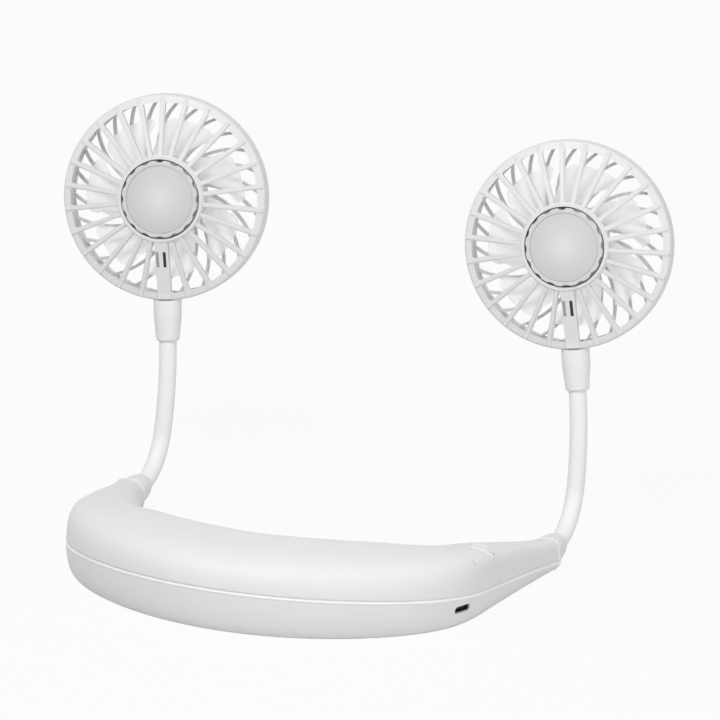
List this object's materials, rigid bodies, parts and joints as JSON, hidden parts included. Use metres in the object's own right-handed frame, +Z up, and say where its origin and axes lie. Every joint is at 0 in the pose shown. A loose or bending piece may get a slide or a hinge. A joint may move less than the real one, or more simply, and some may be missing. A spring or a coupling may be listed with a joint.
{
  "type": "electric neck fan",
  "caption": "U-shaped battery housing worn round the neck, with bendable necks that each carry a caged fan head with a grey hub cap.",
  "frame": {"origin": "middle of the housing's flat underside at the closed end of the U", "axes": "+Z up from the underside, +Y towards the open end of the U, +X to the arm with the button"},
  "size_m": [0.2691, 0.2071, 0.1712],
  "materials": {
    "white_abs": "fine satin moulded white",
    "button_abs": "satin moulded white",
    "grille_abs": "satin moulded white",
    "neck_rubber": "smooth satin white sleeve",
    "core_steel": "wound steel",
    "cap_grey": "matt pale grey",
    "impeller_plastic": "milky white",
    "motor_steel": "drawn steel can",
    "screw_steel": "plain steel",
    "port_steel": "dull steel",
    "black_plastic": "matt black",
    "board_laminate": "green solder resist",
    "lens_clear": "milky window",
    "cell_wrap": "shrink wrapped cell",
    "pad_felt": "felt"
  },
  "bodies": {
    "base": {"top_shell": "white_abs", "bottom_shell": "white_abs", "left_collar": "white_abs", "right_collar": "white_abs", "battery_cell": "cell_wrap", "battery_cradle": "black_plastic", "circuit_board": "board_laminate", "tact_switch": "black_plastic", "indicator_lens": "lens_clear", "charging_port_shell": "port_steel", "charging_port_tongue": "black_plastic", "case_screws": "screw_steel"},
    "power_button": {"power_button": "button_abs"},
    "left_neck": {"left_neck_sleeve_lower": "neck_rubber", "left_neck_core_lower": "core_steel", "left_neck_sleeve_upper": "neck_rubber", "left_neck_core_upper": "core_steel"},
    "left_head": {"left_stem_socket": "white_abs", "left_front_grille": "grille_abs", "left_rear_grille": "grille_abs", "left_motor": "motor_steel"},
    "left_impeller": {"left_impeller": "impeller_plastic", "left_motor_shaft": "screw_steel"},
    "left_cap": {"left_hub_cap": "cap_grey", "left_cap_disc": "cap_grey", "left_scent_pad": "pad_felt"},
    "right_neck": {"right_neck_sleeve_lower": "neck_rubber", "right_neck_core_lower": "core_steel", "right_neck_sleeve_upper": "neck_rubber", "right_neck_core_upper": "core_steel"},
    "right_head": {"right_stem_socket": "white_abs", "right_front_grille": "grille_abs", "right_rear_grille": "grille_abs", "right_motor": "motor_steel"},
    "right_impeller": {"right_impeller": "impeller_plastic", "right_motor_shaft": "screw_steel"},
    "right_cap": {"right_hub_cap": "cap_grey", "right_cap_disc": "cap_grey", "right_scent_pad": "pad_felt"}
  },
  "joints": [
    {"name": "power_button_press", "type": "slide", "parent": "base", "child": "power_button", "axis": [0, 0, -1], "range_m": [0, 0.0006], "stiffness_N_per_m": 1500},
    {"name": "left_neck_lower", "type": "hinge", "parent": "base", "child": "left_neck", "pos_m": [-0.09298, 0.14246, 0.01297], "axis": [1, 0, 0], "range_deg": [-25, 25], "deforming": ["left_neck_sleeve_lower", "left_neck_core_lower"]},
    {"name": "left_neck_upper", "type": "hinge", "parent": "left_neck", "child": "left_head", "pos_m": [-0.09201, 0.15221, 0.04558], "axis": [0, 1, 0], "range_deg": [-25, 25], "deforming": ["left_neck_sleeve_upper", "left_neck_core_upper"]},
    {"name": "left_impeller_spin", "type": "hinge", "parent": "left_head", "child": "left_impeller", "pos_m": [-0.0992, 0.1631, 0.1253], "axis": [0.1354, -0.9761, 0.1702], "continuous": true},
    {"name": "left_cap_twist", "type": "hinge", "parent": "left_head", "child": "left_cap", "pos_m": [-0.0992, 0.1631, 0.1253], "axis": [0.1354, -0.9761, 0.1702], "range_deg": [0, 30]},
    {"name": "right_neck_lower", "type": "hinge", "parent": "base", "child": "right_neck", "pos_m": [0.09336, 0.14301, 0.01324], "axis": [1, 0, 0], "range_deg": [-25, 25], "deforming": ["right_neck_sleeve_lower", "right_neck_core_lower"]},
    {"name": "right_neck_upper", "type": "hinge", "parent": "right_neck", "child": "right_head", "pos_m": [0.09305, 0.15275, 0.04733], "axis": [0, 1, 0], "range_deg": [-25, 25], "deforming": ["right_neck_sleeve_upper", "right_neck_core_upper"]},
    {"name": "right_impeller_spin", "type": "hinge", "parent": "right_head", "child": "right_impeller", "pos_m": [0.0818, 0.1631, 0.1275], "axis": [0.1354, -0.9761, 0.1702], "continuous": true},
    {"name": "right_cap_twist", "type": "hinge", "parent": "right_head", "child": "right_cap", "pos_m": [0.0818, 0.1631, 0.1275], "axis": [0.1354, -0.9761, 0.1702], "range_deg": [0, 30]}
  ]
}
